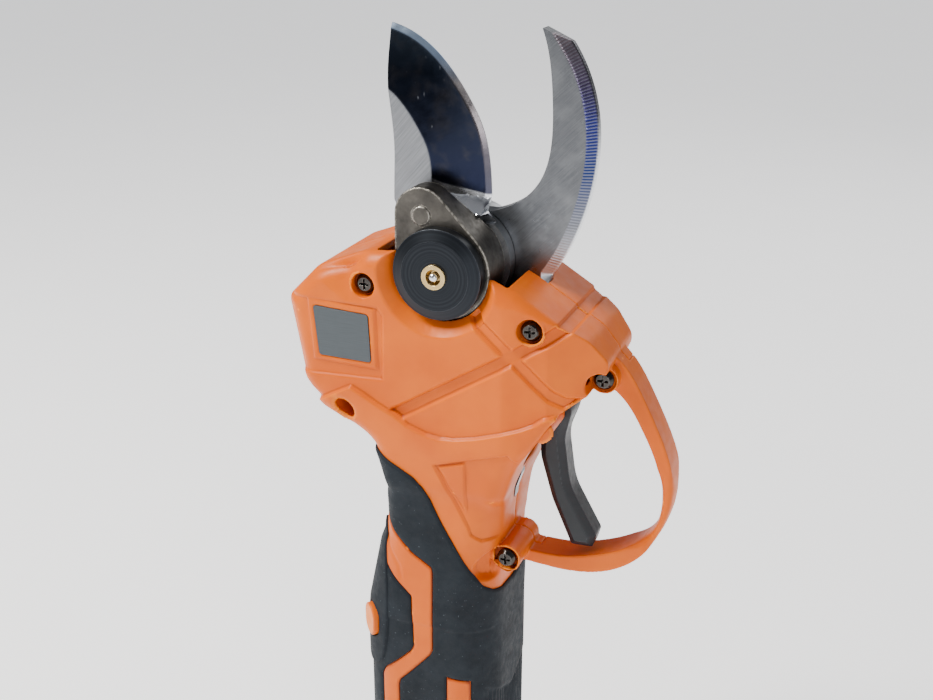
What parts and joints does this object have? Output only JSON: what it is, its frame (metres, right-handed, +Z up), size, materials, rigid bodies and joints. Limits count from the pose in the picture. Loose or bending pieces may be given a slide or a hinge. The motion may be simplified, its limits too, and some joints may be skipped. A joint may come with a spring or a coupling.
{
  "type": "battery electric pruner",
  "caption": "Hand-held battery pruner: trigger-driven bypass blade and hooked fixed blade on a geared head, guarded trigger, soft grip and slide-out battery.",
  "frame": {"origin": "centre of the flat underside of the battery base", "axes": "+Z up along the handle, +X towards the trigger and finger guard, -Y towards the side with the pivot disc and the screws"},
  "size_m": [0.1096, 0.0445, 0.2873],
  "materials": {
    "aluminium": "machined",
    "black_plastic": "fine textured",
    "black_steel": "turned and blackened",
    "blade_steel": "ground",
    "brass": "turned",
    "bright_steel": "polished",
    "cast_carrier": "as cast",
    "cell_wrap": "wrap",
    "circuit_board": "solder mask",
    "dark_screw": "dark chrome",
    "label": "satin",
    "laminations": "stacked",
    "orange_button": "satin moulded",
    "orange_housing": "satin moulded",
    "soft_grip": "fine textured",
    "window": "smoked",
    "wire": "insulation"
  },
  "bodies": {
    "housing": {"controller_board": "circuit_board", "far_grip": "soft_grip", "far_shell": "orange_housing", "fixed_blade": "blade_steel", "frame_screws": "dark_screw", "gearbox_case": "aluminium", "gearbox_cover": "aluminium", "gearbox_screws": "dark_screw", "grease_ball": "bright_steel", "grease_fitting": "brass", "head_frame": "aluminium", "label_plate": "label", "motor_bearings": "bright_steel", "motor_can": "aluminium", "motor_end_cap": "black_plastic", "motor_leads": "wire", "near_grip": "soft_grip", "near_shell": "orange_housing", "output_bearing": "bright_steel", "pivot_bolt": "bright_steel", "pivot_disc": "black_steel", "power_switch": "black_plastic", "sensor_window": "window", "shell_screws": "dark_screw", "stator": "laminations", "terminal_blades": "brass", "terminal_block": "black_plastic", "thumb_pad": "soft_grip", "trigger_pin": "bright_steel", "trigger_sensor": "circuit_board"},
    "cutter": {"moving_blade": "blade_steel", "sector_gear": "cast_carrier", "pivot_bush": "brass", "drive_pin": "cast_carrier"},
    "output_shaft": {"output_carrier": "bright_steel", "bevel_pinion": "bright_steel"},
    "first_stage_carrier": {"first_carrier": "bright_steel", "second_sun": "bright_steel"},
    "rotor": {"motor_shaft": "bright_steel", "rotor_magnet": "laminations", "first_sun": "bright_steel"},
    "trigger_lever": {"trigger": "black_plastic", "trigger_magnet": "laminations"},
    "power_key": {"power_button": "orange_button"},
    "battery": {"battery_case": "black_plastic", "battery_base": "black_plastic", "battery_cells": "cell_wrap", "battery_board": "circuit_board", "battery_contacts": "brass", "charge_socket": "black_plastic"},
    "near_latch_key": {"near_latch": "black_plastic"},
    "far_latch_key": {"far_latch": "black_plastic"},
    "first_planet_1_body": {"first_planet_1": "bright_steel"},
    "first_planet_2_body": {"first_planet_2": "bright_steel"},
    "first_planet_3_body": {"first_planet_3": "bright_steel"},
    "second_planet_1_body": {"second_planet_1": "bright_steel"},
    "second_planet_2_body": {"second_planet_2": "bright_steel"},
    "second_planet_3_body": {"second_planet_3": "bright_steel"}
  },
  "joints": [
    {"name": "blade_pivot", "type": "hinge", "parent": "housing", "child": "cutter", "pos_m": [0.0052, 0, 0.225], "axis": [0, 1, 0], "range_deg": [0, 40]},
    {"name": "output_turn", "type": "hinge", "parent": "housing", "child": "output_shaft", "pos_m": [0.0052, 0.002, 0.19], "axis": [0, 0, 1], "range_deg": [-240, 0]},
    {"name": "first_carrier_turn", "type": "hinge", "parent": "housing", "child": "first_stage_carrier", "pos_m": [0.0052, 0.002, 0.158], "axis": [0, 0, 1], "range_deg": [-1200, 0]},
    {"name": "rotor_turn", "type": "hinge", "parent": "housing", "child": "rotor", "pos_m": [0.0052, 0.002, 0.13], "axis": [0, 0, 1], "range_deg": [-6000, 0]},
    {"name": "first_planet_1_spin", "type": "hinge", "parent": "first_stage_carrier", "child": "first_planet_1_body", "pos_m": [0.0112, 0.002, 0.1525], "axis": [0, 0, 1], "range_deg": [0, 3200]},
    {"name": "first_planet_2_spin", "type": "hinge", "parent": "first_stage_carrier", "child": "first_planet_2_body", "pos_m": [0.0022, 0.0072, 0.1525], "axis": [0, 0, 1], "range_deg": [0, 3200]},
    {"name": "first_planet_3_spin", "type": "hinge", "parent": "first_stage_carrier", "child": "first_planet_3_body", "pos_m": [0.0022, -0.0032, 0.1525], "axis": [0, 0, 1], "range_deg": [0, 3200]},
    {"name": "second_planet_1_spin", "type": "hinge", "parent": "output_shaft", "child": "second_planet_1_body", "pos_m": [0.0112, 0.002, 0.163], "axis": [0, 0, 1], "range_deg": [0, 640]},
    {"name": "second_planet_2_spin", "type": "hinge", "parent": "output_shaft", "child": "second_planet_2_body", "pos_m": [0.0022, 0.0072, 0.163], "axis": [0, 0, 1], "range_deg": [0, 640]},
    {"name": "second_planet_3_spin", "type": "hinge", "parent": "output_shaft", "child": "second_planet_3_body", "pos_m": [0.0022, -0.0032, 0.163], "axis": [0, 0, 1], "range_deg": [0, 640]},
    {"name": "trigger_pull", "type": "hinge", "parent": "housing", "child": "trigger_lever", "pos_m": [0.0342, 0, 0.184], "axis": [0, 1, 0], "range_deg": [0, 14], "stiffness_Nm_per_rad": 0.25, "springref_deg": -17.19},
    {"name": "power_press", "type": "slide", "parent": "housing", "child": "power_key", "axis": [0.7071, 0.7071, 0], "range_m": [0, 0.001], "stiffness_N_per_m": 800, "springref_m": -0.001},
    {"name": "battery_slide", "type": "slide", "parent": "housing", "child": "battery", "axis": [0, 0, -1], "range_m": [0, 0.06]},
    {"name": "near_latch_press", "type": "slide", "parent": "battery", "child": "near_latch_key", "axis": [0, 1, 0], "range_m": [0, 0.001], "stiffness_N_per_m": 800, "springref_m": -0.001},
    {"name": "far_latch_press", "type": "slide", "parent": "battery", "child": "far_latch_key", "axis": [0, -1, 0], "range_m": [0, 0.001], "stiffness_N_per_m": 800, "springref_m": -0.001}
  ],
  "couplings": [
    {"joint": "output_turn", "follows": "blade_pivot", "ratio": -6},
    {"joint": "first_carrier_turn", "follows": "blade_pivot", "ratio": -30},
    {"joint": "rotor_turn", "follows": "blade_pivot", "ratio": -150},
    {"joint": "first_planet_1_spin", "follows": "blade_pivot", "ratio": 80},
    {"joint": "first_planet_2_spin", "follows": "blade_pivot", "ratio": 80},
    {"joint": "first_planet_3_spin", "follows": "blade_pivot", "ratio": 80},
    {"joint": "second_planet_1_spin", "follows": "blade_pivot", "ratio": 16},
    {"joint": "second_planet_2_spin", "follows": "blade_pivot", "ratio": 16},
    {"joint": "second_planet_3_spin", "follows": "blade_pivot", "ratio": 16}
  ]
}
